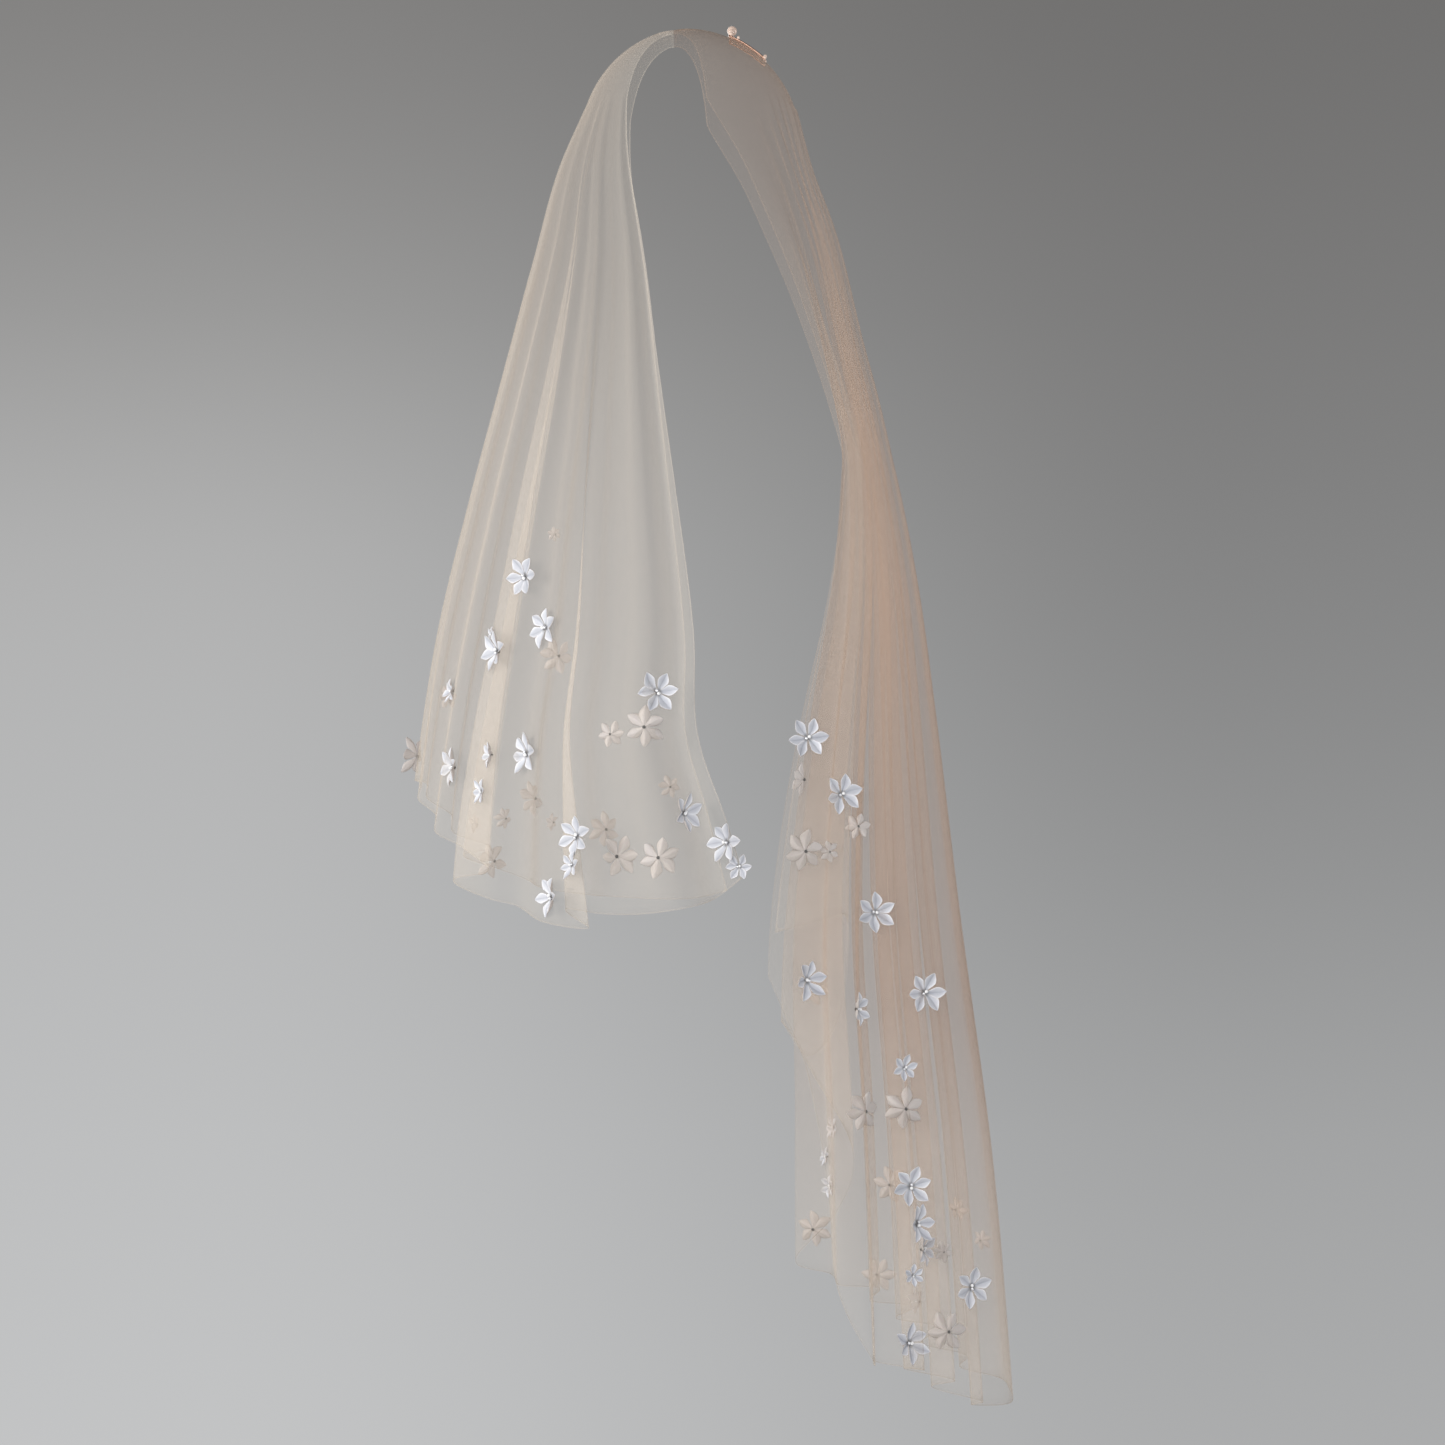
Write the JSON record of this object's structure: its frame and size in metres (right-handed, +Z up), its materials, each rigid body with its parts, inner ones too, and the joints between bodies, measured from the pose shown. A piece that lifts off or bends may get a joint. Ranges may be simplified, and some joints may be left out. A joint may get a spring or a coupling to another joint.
{
  "type": "bridal veil",
  "caption": "Worn tulle veil: a short front tier, a long back tier that hangs in cascades, satin flowers near the hems, and a wire comb with pearls on the crown.",
  "frame": {"origin": "on the crown of the wearer's head, under the cloth, where the head holds the veil up", "axes": "+Z up along the hang of the cloth, +X to the wearer's left, and the wearer faces -Y"},
  "size_m": [0.5341, 0.5534, 1.2561],
  "materials": {
    "tulle": "sheer soft net, warm ivory",
    "satin": "satin, cool white",
    "rose_gold": "polished rose gold",
    "pearl": "pearl, blush"
  },
  "bodies": {
    "root": {"front_tier": "tulle", "back_tier": "tulle", "comb": "rose_gold", "comb_pearl_1": "pearl", "comb_pearl_2": "pearl", "comb_pearl_3": "pearl", "comb_pearl_4": "pearl", "comb_pearl_5": "pearl", "flower_01": "satin", "flower_02": "satin", "flower_03": "satin", "flower_04": "satin", "flower_05": "satin", "flower_06": "satin", "flower_07": "satin", "flower_08": "satin", "flower_09": "satin", "flower_10": "satin", "flower_11": "satin", "flower_12": "satin", "flower_13": "satin", "flower_14": "satin", "flower_15": "satin", "flower_16": "satin", "flower_17": "satin", "flower_18": "satin", "flower_19": "satin", "flower_20": "satin", "flower_21": "satin", "flower_22": "satin", "flower_23": "satin", "flower_24": "satin", "flower_25": "satin", "flower_26": "satin", "flower_27": "satin", "flower_28": "satin", "flower_29": "satin", "flower_30": "satin", "flower_31": "satin", "flower_32": "satin", "flower_33": "satin", "flower_34": "satin", "flower_35": "satin", "flower_36": "satin", "flower_37": "satin", "flower_38": "satin", "flower_39": "satin", "flower_40": "satin", "flower_41": "satin", "flower_42": "satin", "flower_43": "satin", "flower_44": "satin", "flower_45": "satin", "flower_46": "satin"}
  },
  "joints": []
}
